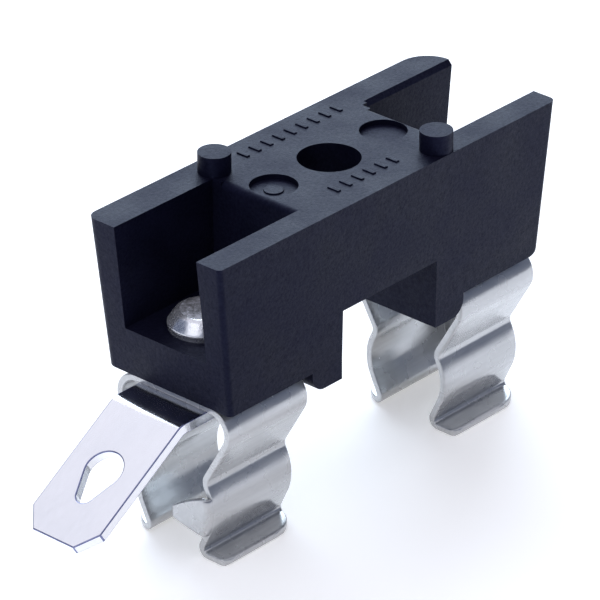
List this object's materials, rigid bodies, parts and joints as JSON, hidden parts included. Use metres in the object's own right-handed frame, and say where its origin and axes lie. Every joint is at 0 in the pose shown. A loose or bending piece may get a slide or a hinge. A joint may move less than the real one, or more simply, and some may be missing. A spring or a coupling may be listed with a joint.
{
  "type": "cartridge fuse holder",
  "caption": "Panel-mount holder for a 6.3 x 32 mm cartridge fuse: a moulded base over sprung sheet clips, with riveted terminals and locating pegs.",
  "frame": {"origin": "centre of the mounting hole on the mounting face", "axes": "+Z out of the mounting face, towards the panel; X along the fuse, with the solder lug at -X; clips hang towards -Z"},
  "size_m": [0.0453, 0.0123, 0.0253],
  "materials": {
    "black_plastic": "moulded thermoset with a fine matt grain",
    "plated_spring": "spring sheet, bright tin plate",
    "plated_lug": "smooth bright tin plate",
    "rivet_metal": "bright side and a grainy pressed top"
  },
  "bodies": {
    "holder": {"base": "black_plastic", "clip_a_bridge": "plated_spring", "clip_b_bridge": "plated_spring", "solder_lug": "plated_lug", "tab_terminal": "plated_lug", "rivet_a": "rivet_metal", "rivet_b": "rivet_metal"},
    "clip_a_stop_spring": {"clip_a_stop_leaf": "plated_spring"},
    "clip_a_plain_spring": {"clip_a_plain_leaf": "plated_spring"},
    "clip_b_stop_spring": {"clip_b_stop_leaf": "plated_spring"},
    "clip_b_plain_spring": {"clip_b_plain_leaf": "plated_spring"}
  },
  "joints": [
    {"name": "clip_a_stop_flex", "type": "hinge", "parent": "holder", "child": "clip_a_stop_spring", "pos_m": [-0.01205, -0.00325, -0.01195], "axis": [-1, 0, 0], "range_deg": [0, 5], "stiffness_Nm_per_rad": 0.5},
    {"name": "clip_a_plain_flex", "type": "hinge", "parent": "holder", "child": "clip_a_plain_spring", "pos_m": [-0.01205, 0.00325, -0.01195], "axis": [1, 0, 0], "range_deg": [0, 5], "stiffness_Nm_per_rad": 0.5},
    {"name": "clip_b_stop_flex", "type": "hinge", "parent": "holder", "child": "clip_b_stop_spring", "pos_m": [0.01205, 0.00325, -0.01195], "axis": [1, 0, 0], "range_deg": [0, 5], "stiffness_Nm_per_rad": 0.5},
    {"name": "clip_b_plain_flex", "type": "hinge", "parent": "holder", "child": "clip_b_plain_spring", "pos_m": [0.01205, -0.00325, -0.01195], "axis": [-1, 0, 0], "range_deg": [0, 5], "stiffness_Nm_per_rad": 0.5}
  ],
  "couplings": [
    {"joint": "clip_a_plain_flex", "follows": "clip_a_stop_flex", "ratio": 1},
    {"joint": "clip_b_plain_flex", "follows": "clip_b_stop_flex", "ratio": 1}
  ]
}
